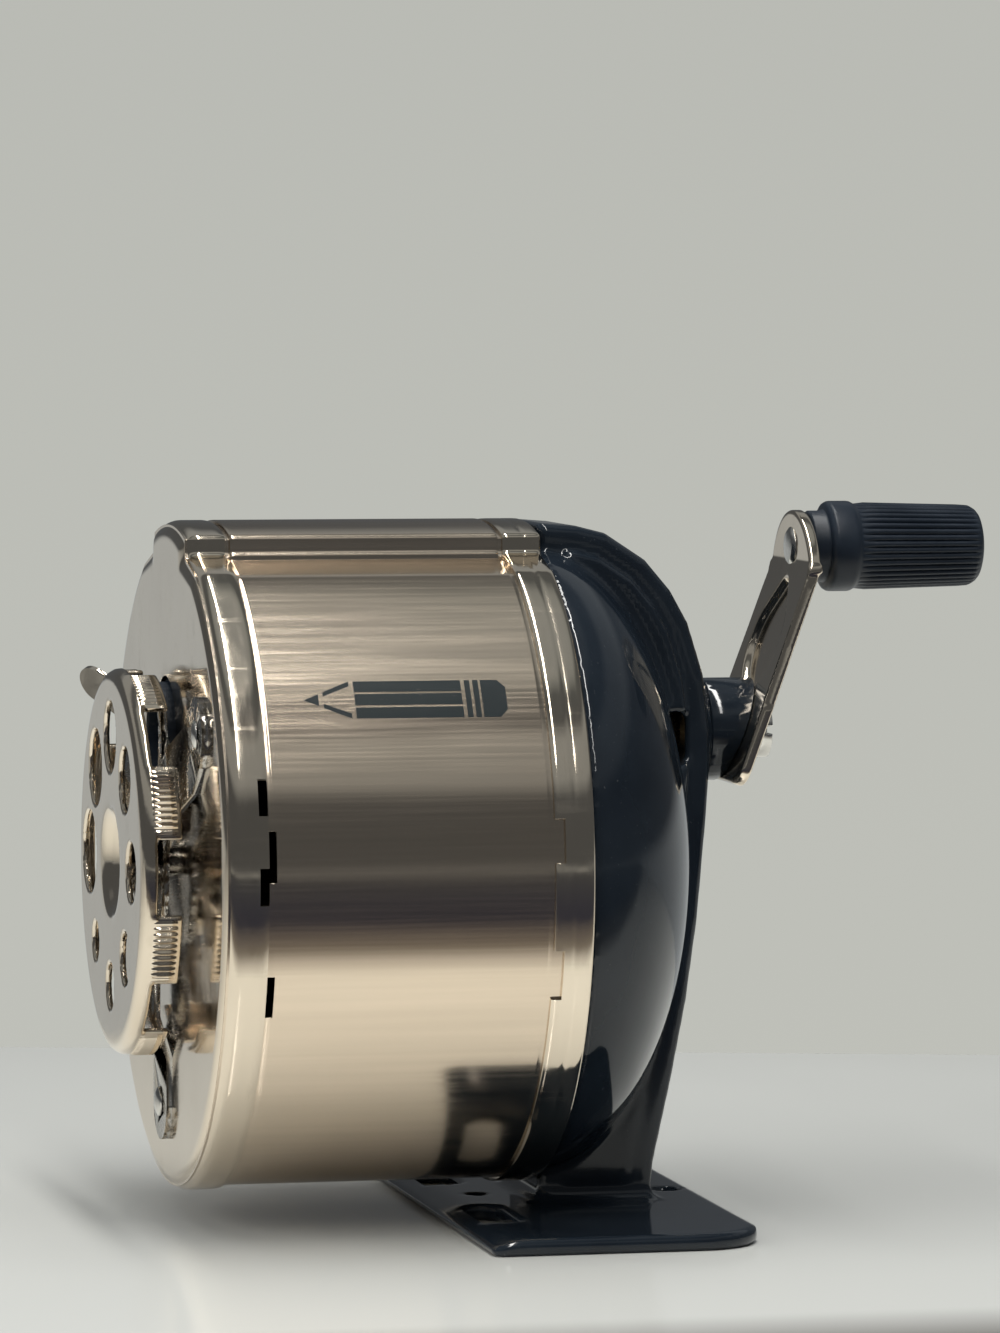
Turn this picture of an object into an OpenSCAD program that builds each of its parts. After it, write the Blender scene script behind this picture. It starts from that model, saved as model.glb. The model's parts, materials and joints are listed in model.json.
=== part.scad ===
// Hand-cranked wall or desk pencil sharpener with a pencil-size dial and a pull-off shavings drum.
// Millimetres, +Z up. Origin on the mounting face under the middle of the base plate.
// The dial faces -Y, the crank and its knob are at +Y.

/* [Drum] */
// Outside radius of the front cap
cap_r = 43.5; // [38:0.1:50]
// Height of the drum axis above the mounting face
drum_z = 47.8; // [44:0.1:60]
// Front face of the cap along Y
cap_y = -53.5; // [-65:0.1:-45]
// Depth of the cap skirt
cap_depth = 5.7; // [4:0.1:8]
// Front edge of the rear ring along Y
ring_y = -10.7; // [-16:0.1:-6]
// Depth of the rear ring
ring_depth = 5.2; // [3:0.1:8]
// Sheet thickness of cap, shell and ring
sheet = 0.5; // [0.4:0.05:0.8]
// Width of the raised rib on top
rib_w = 24; // [10:0.5:30]
// Radius of the rib top about the drum axis
rib_r = 45; // [44:0.1:50]

/* [Dial] */
// Outside diameter of the dial
dial_d = 51; // [44:0.5:56]
// Front face of the dial along Y
dial_y = -61; // [-70:0.1:-58]
// Depth of the grip skirt
dial_depth = 5.4; // [4:0.1:7]
// Radius of the circle of pencil holes
hole_circle = 16.5; // [15:0.1:18]
// Smallest pencil hole
hole_min = 5.4; // [4:0.1:7]
// Largest pencil hole
hole_max = 11.1; // [9:0.1:12]

/* [Stand] */
// Width of the base plate
base_w = 66; // [56:0.5:80]
// Length of the base plate
base_l = 36.8; // [30:0.1:50]
// Thickness of the base plate
base_t = 2.2; // [1.6:0.1:4]
// Width of the leg
leg_w = 19; // [12:0.5:24]
// Distance between the two front screw slots
slot_gap = 36; // [28:0.5:44]
// Width of the front screw slots
slot_w = 5; // [3.5:0.1:6]
// Length of the front screw slots
slot_l = 16; // [6:0.5:18]
// Distance of the front slots ahead of the plate middle
slot_y = 13.3; // [10:0.1:16]
// Diameter of the rear screw hole
rear_hole = 4; // [3:0.1:6]

/* [Crank] */
// Distance from crank axis to knob axis
throw = 24.5; // [20:0.5:60]
// Backward lean of the crank arm in degrees
lean = 19.9; // [0:0.1:35]
// Width of the arm at the hub
arm_w = 21.6; // [14:0.2:26]
// Length of the knob
knob_l = 24; // [18:0.1:40]

/* [Cutters] */
// Length of each cutter body
cut_l = 27; // [20:0.5:32]
// Radius of each cutter body
cut_r = 5.8; // [4:0.1:6]
// Angle of each cutter to the crank axis
tilt = 11; // [8:0.5:14]

/* [Hidden] */
crank_z = drum_z + hole_circle;
dome_y = ring_y + ring_depth;
dome_r = 42;
dome_d = 20.5;
wall = 2.4;
spigot_r = cap_r - 1.9;
lap = sheet + 0.05;
gear_y = -2;
gear_w = 4.6;
gear_mid = gear_y + 2;
screw_c = 18.6;
lug_r = 2.8;
ring_r = 16.2;
spine_y = 18.5;
ring_teeth = 26;
pin_teeth = 12;
offs = (ring_teeth - pin_teeth) / 2;
hub_y = spine_y + 0.8;
arm_y = 23.9;
arm_t = 1.6;
bend = throw - 2.8;
end_y = arm_y + bend * tan(lean) + 0.15;
arm_top_r = arm_w / 2 - 0.6;
knob_reach = 4.9;
seat_y = arm_y + 2.8;
neck = 2.6;
knob_y = end_y + arm_t + 0.5;
dial_r = dial_d / 2;
hole_step = (hole_max - hole_min) / 7;
foot_angles = [270, 35, 165];
foot_r = 32;
lever_a = 137;
$fn = 64;

// Extrudes a flat shape drawn in X and Z from y0 to y1.
module ext_y(y0, y1) {
    translate([0, y1, 0]) rotate([90, 0, 0]) linear_extrude(y1 - y0) children();
}

// Turns a profile of radius and Y about the line at height z parallel to Y.
module rev_y(z, x = 0) {
    translate([x, 0, z]) rotate([-90, 0, 0]) rotate_extrude($fn = 96) children();
}

// Cylinder along Y.
module cyl_y(r, y0, y1, z, x = 0) {
    translate([x, y0, z]) rotate([-90, 0, 0]) cylinder(r = r, h = y1 - y0, $fn = 64);
}

// Round drum outline with the crowned rib on top, shrunk by s.
module drum2d(r, s) {
    translate([0, drum_z]) union() {
        circle(r = r - s, $fn = 180);
        intersection() {
            circle(r = rib_r - s, $fn = 180);
            translate([-rib_w / 2 + s, 30]) square([rib_w - 2 * s, 20]);
        }
    }
}

function arc_at(x, z, r, from, to, n) = [for (i = [0 : n]) let (t = from + i * (to - from) / n)
    [x + r * cos(t), z + r * sin(t)]];

// Drop outline: a wide round end below, a narrow one above at distance d, straight sides touching both.
module drop2d(r1, r2, d) {
    a = asin((r1 - r2) / d);
    polygon(concat(arc_at(0, 0, r1, 180 - a, 360 + a, 24), arc_at(0, d, r2, a, 180 - a, 10)));
}

// Side outline of the spine and leg, Y then Z.
module spine2d() {
    polygon([[-4.8, 1], [10.3, 1], [11, 7.3], [13.4, 18.2], [15.4, 28.6], [16.9, 39.6], [18.1, 53.6],
        [spine_y, 59.6], [spine_y, 64.6], [17.6, 72.1], [15.4, 79.1], [13, 83.4], [9.5, 87.5], [4, 91.1],
        [0, 92.1], [dome_y + 0.3, 92.5], [dome_y + 0.3, 81.6], [-4.8, 57.6]]);
}

module base2d() {
    r = 9;
    difference() {
        union() {
            translate([-base_w / 2, -base_l / 2 + 1.5]) square([base_w, base_l - 1.5 - r]);
            translate([-base_w / 2 + r, -base_l / 2]) square([base_w - 2 * r, base_l]);
            translate([-base_w / 2 + 1.5, -base_l / 2]) square([base_w - 3, 10]);
            for (k = [-1, 1]) translate([k * (base_w / 2 - r), base_l / 2 - r]) circle(r = r, $fn = 64);
            for (k = [-1, 1]) translate([k * (base_w / 2 - 1.5), -base_l / 2 + 1.5]) circle(r = 1.5, $fn = 32);
        }
        for (k = [-1, 1]) translate([k * slot_gap / 2, -slot_y]) {
            square([slot_l - slot_w, slot_w], center = true);
            for (m = [-1, 1]) translate([m * (slot_l - slot_w) / 2, 0]) circle(r = slot_w / 2, $fn = 48);
        }
        translate([0, 14.6]) circle(r = rear_hole / 2, $fn = 48);
        translate([0, -11.4]) circle(r = 1.2, $fn = 32);
    }
}

// Angles of the three screws that hold the ring gear.
screw_angles = [90, 210, 330];

// Profile of a domed cover of radius r and depth d, starting at y.
function dome(r, d, y) = concat([for (a = [0 : 7 : 84]) [r * cos(a), y + d * sin(a)]], [[0, y + d]]);

module stand_casting() {
    color([0.03, 0.03, 0.04]) difference() {
        union() {
            linear_extrude(base_t) base2d();
            translate([-leg_w / 2, 0, 0]) rotate([90, 0, 90]) linear_extrude(leg_w) spine2d();
            rev_y(drum_z) polygon(concat([[0, dome_y - 3], [spigot_r, dome_y - 3], [spigot_r, dome_y + 0.3]],
                dome(dome_r, dome_d, dome_y + 0.3)));
            cyl_y(7.6, 9, hub_y - 0.3, crank_z);
        }
        difference() {
            rev_y(drum_z) polygon(concat([[0, dome_y - 4], [spigot_r - 2, dome_y - 4]],
                dome(dome_r - wall, dome_d - wall, dome_y + 0.3)));
            cyl_y(8.2, 6.8, 14, crank_z);
            for (a = screw_angles) cyl_y(3, gear_y + 1.2, a == 90 ? 4 : 12,
                crank_z + screw_c * sin(a), screw_c * cos(a));
        }
        cyl_y(5.25, 0, 30, crank_z);
        cyl_y(ring_r + 0.2, gear_y - 4, gear_y + gear_w + 0.2, crank_z);
        for (a = screw_angles) cyl_y(1.2, gear_y, gear_y + 5, crank_z + screw_c * sin(a), screw_c * cos(a));
        for (k = [-1, 1]) translate([k * 9, 13.3, crank_z - 0.6]) rotate([0, 90, 0]) {
            for (m = [-1, 1]) translate([m * 2, 0, 0]) cylinder(r = 1.7, h = 9, center = true, $fn = 32);
            cube([4, 3.4, 9], center = true);
        }
    }
}

// Internal gear teeth as one flat shape, the space inside the ring.
module ring_space2d() {
    polygon([for (i = [0 : ring_teeth - 1]) for (q = [[-0.14, 12.5], [0.14, 12.5], [0.36, 14.3], [0.64, 14.3]])
        let (a = (i + q[0]) * 360 / ring_teeth) [q[1] * cos(a), q[1] * sin(a)]]);
}

module ring_gear() {
    color([0.62, 0.60, 0.56]) difference() {
        union() {
            cyl_y(ring_r, gear_y, gear_y + gear_w, crank_z);
            ext_y(gear_y, gear_y + 1.2) translate([0, crank_z]) {
                for (a = screw_angles) rotate(a) {
                    translate([screw_c, 0]) circle(r = lug_r, $fn = 32);
                    translate([15, -lug_r]) square([screw_c - 15, 2 * lug_r]);
                }
                circle(r = ring_r, $fn = 96);
            }
        }
        translate([0, 0, crank_z]) ext_y(gear_y - 1, gear_y + gear_w + 1) ring_space2d();
        for (a = screw_angles) cyl_y(1.3, -2, 6, crank_z + screw_c * sin(a), screw_c * cos(a));
    }
}

module ring_gear_screws() {
    color([0.7, 0.7, 0.7]) for (a = screw_angles) difference() {
        union() {
            cyl_y(2.4, gear_y - 1.6, gear_y, crank_z + screw_c * sin(a), screw_c * cos(a));
            cyl_y(1.2, gear_y - 0.5, gear_y + 5, crank_z + screw_c * sin(a), screw_c * cos(a));
        }
        translate([screw_c * cos(a), gear_y - 1.6, crank_z + screw_c * sin(a)]) rotate([0, a, 0])
            cube([6, 1.4, 0.7], center = true);
    }
}

module spindle_bushing() {
    color([0.72, 0.55, 0.28]) rev_y(crank_z)
        polygon([[4.05, 6.5], [6.8, 6.5], [6.8, 6.8], [5.25, 6.8], [5.25, hub_y - 0.3], [4.05, hub_y - 0.3]]);
}

module front_cap() {
    color([0.78, 0.74, 0.68]) difference() {
        ext_y(cap_y, cap_y + cap_depth) drum2d(cap_r, 0);
        ext_y(cap_y + sheet, cap_y + cap_depth + 1) drum2d(cap_r, sheet);
        cyl_y(8, cap_y - 1, cap_y + 1, crank_z);
        cyl_y(2.1, cap_y - 1, cap_y + 1, drum_z);
        for (a = [0, 180]) for (z = [9, -2]) translate([0, cap_y + cap_depth, drum_z]) rotate([0, a, 0])
            translate([40, -1.2, a == 0 ? z : -z - 5]) cube([6, 2, 5]);
        for (p = foot_at()) cyl_y(1.1, cap_y - 1, cap_y + 1, drum_z + p[1], p[0]);
        cyl_y(1.1, cap_y - 1, cap_y + 1, drum_z + lever_at()[1], lever_at()[0]);
    }
}

module drum_shell() {
    color([0.74, 0.68, 0.60]) difference() {
        ext_y(cap_y + sheet, dome_y - 0.6) drum2d(cap_r, lap);
        ext_y(cap_y, dome_y) drum2d(cap_r, lap + sheet);
        for (k = [-1, 1]) for (s = [[-47, 4.6, 1.0], [-47, -13.2, 1.0]])
            translate([k > 0 ? 38 : -48, s[0], drum_z + s[1]]) cube([10, s[2], 6]);
    }
}

module rear_ring() {
    color([0.78, 0.74, 0.68]) difference() {
        ext_y(ring_y, dome_y) drum2d(cap_r, 0);
        ext_y(ring_y - 1, dome_y + 1) drum2d(cap_r, sheet);
        for (k = [-1, 1]) for (z = [2.5, -15]) translate([k > 0 ? 38 : -48, ring_y - 1, drum_z + z])
            cube([10, 2, 6]);
    }
}

function spoke(r, a) = [r * cos(a), r * sin(a)];
function foot_at() = [for (a = foot_angles) spoke(foot_r, a)];
function lever_at() = spoke(19, lever_a);

// Standing plateau round the post with three bent legs and a lobe round the pencil opening.
module dial_bracket() {
    t = 0.8;
    w = 10;
    py = cap_y - 2.4;
    color([0.45, 0.42, 0.38]) difference() {
        union() {
            ext_y(py, py + t) translate([0, drum_z]) {
                circle(r = 12, $fn = 64);
                intersection() {
                    translate([0, hole_circle]) circle(r = 10.5, $fn = 64);
                    circle(r = 23.4, $fn = 96);
                }
            }
            for (a = foot_angles) translate([0, 0, drum_z]) rotate([0, 90 - a, 0]) {
                translate([-w / 2, 0, 0]) rotate([90, 0, 90]) linear_extrude(w) polygon([[py, 9],
                    [py, 20.6], [cap_y - t, 26], [cap_y - t, foot_r], [cap_y, foot_r], [cap_y, 25.6],
                    [py + t, 20.2], [py + t, 9]]);
                ext_y(cap_y - t, cap_y) translate([0, foot_r]) circle(r = w / 2, $fn = 48);
            }
        }
        cyl_y(2.05, py - 1, cap_y + 1, drum_z);
        cyl_y(8.2, py - 1, cap_y + 1, crank_z);
        for (p = foot_at()) cyl_y(1.05, py - 1, cap_y + 1, drum_z + p[1], p[0]);
    }
}

module bracket_rivets() {
    color([0.66, 0.64, 0.6]) for (p = foot_at()) rev_y(drum_z + p[1], p[0])
        polygon([[0, cap_y - 1.5], [1.1, cap_y - 1.45], [1.9, cap_y - 1.1], [2, cap_y - 0.8], [1.05, cap_y - 0.8],
            [1.05, cap_y + sheet], [1.8, cap_y + sheet], [1.8, cap_y + sheet + 0.6], [0, cap_y + sheet + 0.7]]);
}

// Black tube that leads the pencil to the cutters.
module pencil_guide() {
    color([0.05, 0.05, 0.05]) rev_y(crank_z) polygon([[5.9, cap_y - 1.4], [7.2, cap_y - 1.4], [7.2, cap_y + sheet],
        [9, cap_y + sheet], [9, cap_y + sheet + 1], [7.2, cap_y + sheet + 2], [6.9, -39], [6, -39]]);
}

module dial_spring() {
    color([0.6, 0.6, 0.58]) rev_y(drum_z) polygon([[2.1, cap_y + 1.1], [4.6, cap_y + sheet + 0.02],
        [4.8, cap_y + sheet + 0.3], [2.1, cap_y + 1.5]]);
}

module lever_rivet() {
    color([0.66, 0.64, 0.6]) rev_y(drum_z + lever_at()[1], lever_at()[0])
        polygon([[0, cap_y - 2.3], [1.4, cap_y - 2.2], [2.1, cap_y - 1.75], [1.0, cap_y - 1.75], [1.0, cap_y + sheet],
            [1.9, cap_y + sheet], [1.9, cap_y + sheet + 0.6], [0, cap_y + sheet + 0.7]]);
}

// Thin lever behind the dial with a round-ended thumb tab.
module thumb_lever() {
    l = lever_at();
    color([0.8, 0.77, 0.72]) difference() {
        translate([l[0], 0, drum_z + l[1]]) rotate([0, 90 - lever_a, 0]) {
            ext_y(cap_y - 1.7, cap_y - 1) {
                circle(r = 3, $fn = 48);
                translate([-2.6, 0]) square([5.2, 9]);
            }
            translate([0, cap_y - 1.7, 8.6]) rotate([42, 0, 0]) ext_y(0, 0.7) {
                translate([-2.6, 0]) square([5.2, 6]);
                translate([0, 6]) circle(r = 2.6, $fn = 48);
            }
        }
        cyl_y(1.05, cap_y - 4, cap_y + 1, drum_z + l[1], l[0]);
    }
}

module pencil_dial() {
    t = 0.8;
    color([0.80, 0.77, 0.72]) difference() {
        union() {
            ext_y(dial_y, dial_y + t) translate([0, drum_z]) difference() {
                circle(r = dial_r, $fn = 120);
                circle(r = 7.5, $fn = 64);
            }
            ext_y(dial_y, dial_y + 1.6) translate([0, drum_z]) difference() {
                circle(r = dial_r, $fn = 120);
                circle(r = dial_r - 1, $fn = 120);
            }
            ext_y(dial_y + 1, dial_y + dial_depth) translate([0, drum_z]) intersection() {
                difference() {
                    circle(r = dial_r, $fn = 120);
                    circle(r = dial_r - 1, $fn = 120);
                }
                for (i = [0 : 7]) rotate(i * 45 + 22.5) polygon([[0, 0], [30, -30 * tan(11.25)], [30, 30 * tan(11.25)]]);
            }
            rev_y(drum_z) polygon([[0, dial_y + 2.6], [2.5, dial_y + 2.5], [5, dial_y + 1.7], [6.8, dial_y + 0.7],
                [7.6, dial_y], [8.4, dial_y], [8.4, dial_y + t], [7.4, dial_y + 1.4], [5.4, dial_y + 2.5],
                [2.6, dial_y + 3.3], [0, dial_y + 3.4]]);
        }
        for (i = [0 : 7]) translate([0, 0, drum_z]) rotate([0, -225 - i * 45 + 90, 0])
            cyl_y((hole_min + i * hole_step) / 2, dial_y - 1, dial_y + 1, hole_circle);
    }
}

module dial_post() {
    color([0.25, 0.24, 0.23]) difference() {
        rev_y(drum_z) polygon([[0, dial_y + 3.4], [2.7, dial_y + 3.4], [2.7, cap_y - 2.5], [2, cap_y - 2.5],
            [2, cap_y + 3.4], [0, cap_y + 3.4]]);
        rev_y(drum_z) polygon([[1.5, cap_y + 1.7], [3, cap_y + 1.7], [3, cap_y + 2.4], [1.5, cap_y + 2.4]]);
    }
}

module post_clip() {
    color([0.4, 0.4, 0.4]) difference() {
        cyl_y(3.6, cap_y + 1.75, cap_y + 2.35, drum_z);
        cyl_y(1.5, cap_y, cap_y + 4, drum_z);
        translate([-1.2, cap_y, drum_z - 5]) cube([2.4, 4, 5]);
    }
}

// Flat-sided end of the spindle, r round and grown by g.
module key_y(y0, y1, g) {
    intersection() {
        cyl_y(3.4 + g, y0, y1, crank_z);
        translate([-2.6 - g, y0, crank_z - 4]) cube([5.2 + 2 * g, y1 - y0, 8]);
    }
}

module spindle() {
    color([0.6, 0.6, 0.6]) difference() {
        union() {
            cyl_y(4, gear_mid + 6, hub_y + 0.6, crank_z);
            key_y(hub_y, seat_y - 0.1, 0);
        }
        cyl_y(1.45, hub_y + 1, seat_y + 1, crank_z);
    }
}

module carrier_plate2d(r, h) {
    intersection() {
        circle(r = r, $fn = 96);
        square([2 * r, 2 * h], center = true);
    }
}

// Axis frame of one cutter, k is 1 on the +X side and -1 on the other.
module cutter_frame(k) {
    translate([k * offs, gear_mid, crank_z]) rotate([0, 0, k * tilt]) children();
}

module cutter_carrier() {
    color([0.55, 0.53, 0.5]) difference() {
        union() {
            translate([0, 0, crank_z]) ext_y(gear_mid - 36, gear_mid - 32.8) carrier_plate2d(17.4, 10.2);
            translate([0, 0, crank_z]) ext_y(gear_mid + 3.2, gear_mid + 6) circle(r = 9.8, $fn = 96);
            for (k = [-1, 1]) translate([-4.5, gear_mid - 35, crank_z + (k > 0 ? 7.7 : -9.7)])
                cube([9, 39, 2]);
        }
        cyl_y(6.3, -40, -20, crank_z);
        for (k = [-1, 1]) cutter_frame(k) cyl_y(1.5, -45, 10, 0);
    }
}

module carrier_screws() {
    color([0.5, 0.5, 0.5]) for (k = [-1, 1]) translate([0, 0, crank_z]) rotate([0, k > 0 ? 0 : 180, 0])
        translate([0, gear_mid - 34.4, 10.2]) difference() {
            cylinder(r = 1.3, h = 0.8, $fn = 32);
            translate([-2, -0.25, 0.4]) cube([4, 0.5, 1]);
        }
}

module cutter_pins() {
    color([0.7, 0.7, 0.7]) for (k = [-1, 1]) cutter_frame(k) cyl_y(1.5, -36.6, 5.6, 0);
}

module pinion2d() {
    polygon([for (i = [0 : pin_teeth - 1]) for (q = [[-0.3, 4.9], [-0.12, 6.5], [0.12, 6.5], [0.3, 4.9]])
        let (a = (i + 0.5 + q[0]) * 360 / pin_teeth) [q[1] * cos(a), q[1] * sin(a)]]);
}

module flute2d() {
    n = 14;
    polygon([for (i = [0 : n - 1]) for (q = [[0, cut_r], [0.12, cut_r], [0.5, cut_r - 1]])
        let (a = (i + q[0]) * 360 / n) [q[1] * cos(a), q[1] * sin(a)]]);
}

module cutter() {
    difference() {
        union() {
            translate([0, -3.6, 0]) rotate([90, 0, 0]) linear_extrude(cut_l, twist = 90, slices = 12) flute2d();
            cyl_y(4.6, -4, 1.9, 0);
            ext_y(-1.5, 1.5) pinion2d();
        }
        cyl_y(1.56, -40, 10, 0);
    }
}

module cutter_a() {
    color([0.5, 0.5, 0.5]) cutter_frame(1) cutter();
}

module cutter_b() {
    color([0.5, 0.5, 0.5]) cutter_frame(-1) cutter();
}

// Frame of the leaning part of the arm, its front face at Y = 0.
module arm_frame() {
    translate([0, arm_y, crank_z]) rotate([-lean, 0, 0]) children();
}

module crank_hub() {
    color([0.04, 0.04, 0.05]) difference() {
        cyl_y(6.9, hub_y, arm_y + 4, crank_z);
        arm_frame() translate([-20, 0, -30]) cube([40, 20, 60]);
        key_y(hub_y + 0.6, arm_y + 6, 0);
        cyl_y(4, hub_y - 1, hub_y + 0.6, crank_z);
    }
}

// Outline of the leaning part of the arm: square lower end with small corners, round upper end.
module arm2d() {
    foot = 7.1;
    corner = 2.4;
    top = (throw + knob_reach - arm_top_r) / cos(lean);
    polygon(concat(arc_at(corner - arm_w / 2, corner - foot, corner, 180, 270, 6),
        arc_at(arm_w / 2 - corner, corner - foot, corner, 270, 360, 6),
        arc_at(0, top, arm_top_r + 0.25, 0, 180, 30)));
}

// Stamped arm: a leaning web with a pressed channel, bent upright where it holds the knob.
module crank_arm() {
    channel_v = 12.6;
    channel_r = 6.6;
    color([0.8, 0.77, 0.72]) difference() {
        union() {
            intersection() {
                arm_frame() difference() {
                    union() {
                        ext_y(0, arm_t) arm2d();
                        translate([0, 0, channel_v]) ext_y(arm_t - 0.3, arm_t + 0.6)
                            drop2d(channel_r + 0.8, 2.6, 5.5);
                    }
                    translate([0, 0, channel_v]) ext_y(-1, 1) drop2d(channel_r, 2, 6.8);
                }
                translate([-20, 0, 0]) cube([40, 60, crank_z + bend]);
            }
            intersection() {
                ext_y(end_y, end_y + arm_t) translate([0, crank_z + throw + knob_reach - arm_top_r])
                    circle(r = arm_top_r, $fn = 96);
                translate([-20, 0, crank_z + bend - 0.4]) cube([40, 60, 20]);
            }
            difference() {
                cyl_y(4.6, arm_y - 2, seat_y, crank_z);
                arm_frame() translate([-20, -20, -30]) cube([40, 20.5, 60]);
            }
        }
        key_y(hub_y, arm_y + 6, 0);
        cyl_y(4.3, seat_y, seat_y + 8, crank_z);
        cyl_y(2, arm_y, arm_y + 20, crank_z + throw);
    }
}

module crank_screw() {
    color([0.7, 0.7, 0.7]) difference() {
        union() {
            cyl_y(1.45, hub_y + 4, seat_y + 0.1, crank_z);
            cyl_y(4, seat_y, seat_y + 1.8, crank_z);
        }
        translate([-5, seat_y + 1, crank_z - 0.5]) cube([10, 2, 1]);
    }
}

module knob_stud() {
    color([0.75, 0.73, 0.7]) rev_y(crank_z + throw) polygon([[0, end_y - 0.6], [2, end_y - 0.5], [2.7, end_y],
        [2, end_y], [2, knob_y - 0.5], [3.8, knob_y - 0.5], [3.8, knob_y - 0.1], [2, knob_y - 0.1],
        [2, knob_y + 18], [0, knob_y + 18]]);
}

// Hand knob, turned outline with a collar, a ring and a long grip.
module crank_knob() {
    y = knob_y;
    r = y + neck;
    color([0.05, 0.05, 0.05]) rev_y(crank_z + throw) polygon([[2.05, y], [4.6, y], [4.8, y + 0.3], [4.8, r - 0.5],
        [5.7, r - 0.2], [6.1, r + 0.3], [6.1, r + 3.2], [5.8, r + 3.8], [5.9, r + 4], [5.3, y + knob_l - 2],
        [4.8, y + knob_l - 0.6], [3.6, y + knob_l], [0, y + knob_l], [0, y + 18.3], [2.05, y + 18.3]]);
}

stand_casting();
ring_gear();
ring_gear_screws();
spindle_bushing();
front_cap();
drum_shell();
rear_ring();
dial_bracket();
bracket_rivets();
pencil_guide();
dial_spring();
lever_rivet();
thumb_lever();
pencil_dial();
dial_post();
post_clip();
spindle();
cutter_carrier();
carrier_screws();
cutter_pins();
cutter_a();
cutter_b();
crank_hub();
crank_arm();
crank_screw();
knob_stud();
crank_knob();
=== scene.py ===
import json
import math

import bmesh
import bpy
import numpy as np
from mathutils import Matrix, Vector

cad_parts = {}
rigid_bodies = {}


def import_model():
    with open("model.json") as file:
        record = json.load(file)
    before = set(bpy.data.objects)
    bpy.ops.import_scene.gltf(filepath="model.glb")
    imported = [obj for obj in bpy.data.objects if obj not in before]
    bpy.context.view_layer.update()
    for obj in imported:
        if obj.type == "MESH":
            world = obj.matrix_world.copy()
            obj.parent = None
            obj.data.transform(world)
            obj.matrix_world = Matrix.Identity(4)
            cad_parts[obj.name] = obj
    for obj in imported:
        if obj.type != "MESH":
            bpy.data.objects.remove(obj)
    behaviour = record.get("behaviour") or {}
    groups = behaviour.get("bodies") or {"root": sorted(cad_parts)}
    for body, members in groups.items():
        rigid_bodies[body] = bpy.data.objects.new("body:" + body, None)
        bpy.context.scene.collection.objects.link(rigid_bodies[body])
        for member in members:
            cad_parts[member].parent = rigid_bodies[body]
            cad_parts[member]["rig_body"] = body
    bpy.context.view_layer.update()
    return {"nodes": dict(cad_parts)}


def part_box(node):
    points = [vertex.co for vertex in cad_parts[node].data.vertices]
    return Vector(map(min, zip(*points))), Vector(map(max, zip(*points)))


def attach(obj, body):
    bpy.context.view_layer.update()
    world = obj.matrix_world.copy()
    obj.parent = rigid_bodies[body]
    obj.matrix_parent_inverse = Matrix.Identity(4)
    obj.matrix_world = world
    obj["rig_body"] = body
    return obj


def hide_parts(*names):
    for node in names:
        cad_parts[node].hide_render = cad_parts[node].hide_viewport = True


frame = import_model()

MM = 0.001


def box_mm(node):
    """Lowest and highest corner of a CAD node in millimetres."""
    lo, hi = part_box(node)
    return np.array(lo) / MM, np.array(hi) / MM


# ---------------------------------------------------------------- sizes read from the frame
CAP_LO, CAP_HI = box_mm("front_cap")
RING_LO, RING_HI = box_mm("rear_ring")
SHELL_LO, SHELL_HI = box_mm("drum_shell")
DIAL_LO, DIAL_HI = box_mm("pencil_dial")
CAST_LO, CAST_HI = box_mm("stand_casting")
KNOB_LO, KNOB_HI = box_mm("crank_knob")
HUB_LO, HUB_HI = box_mm("crank_hub")
ARM_LO, ARM_HI = box_mm("crank_arm")

CAP_R = (CAP_HI[0] - CAP_LO[0]) / 2
AXIS_Z = CAP_LO[2] + CAP_R
RIB_R = CAP_HI[2] - AXIS_Z
CRANK_Z = (HUB_LO[2] + HUB_HI[2]) / 2
KNOB_Z = (KNOB_LO[2] + KNOB_HI[2]) / 2
THROW = KNOB_Z - CRANK_Z
DIAL_R = (DIAL_HI[0] - DIAL_LO[0]) / 2
DIAL_Y = DIAL_LO[1]
HOLE_CIRCLE = CRANK_Z - AXIS_Z
DOME_Y = RING_HI[1]

# Sizes in millimetres that no box of the frame gives.
RIB_HALF = 12.0     # half width of the raised rib
SHEET = 0.5         # sheet thickness of the drum
LAP = 0.55          # step from cap and ring down to the shell


# ---------------------------------------------------------------- mesh building
def finish_mesh(name, bm, material, body, nodes=(), bevel=0.0, angle=32):
    """Turns a bmesh in metres into a shaded piece that rides on its body."""
    bmesh.ops.remove_doubles(bm, verts=bm.verts, dist=1e-6)
    bmesh.ops.recalc_face_normals(bm, faces=bm.faces)
    mesh = bpy.data.meshes.new(name)
    bm.to_mesh(mesh)
    bm.free()
    mesh.polygons.foreach_set("use_smooth", [True] * len(mesh.polygons))
    if not bevel:
        mesh.set_sharp_from_angle(angle=math.radians(angle))
    obj = bpy.data.objects.new(name, mesh)
    bpy.context.scene.collection.objects.link(obj)
    obj.data.materials.append(material)
    if bevel:
        mod = obj.modifiers.new("edge", "BEVEL")
        mod.width = bevel * MM
        mod.segments = 2
        mod.limit_method = "ANGLE"
        mod.angle_limit = math.radians(angle)
        mod.harden_normals = True
        mod.use_clamp_overlap = True
    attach(obj, body)
    if nodes:
        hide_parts(*nodes)
    return obj


def bm_from(verts, faces):
    """bmesh from millimetre vertices."""
    bm = bmesh.new()
    vs = [bm.verts.new((float(v[0]) * MM, float(v[1]) * MM, float(v[2]) * MM)) for v in verts]
    for f in faces:
        try:
            bm.faces.new([vs[i] for i in f])
        except ValueError:
            pass
    return bm


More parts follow.
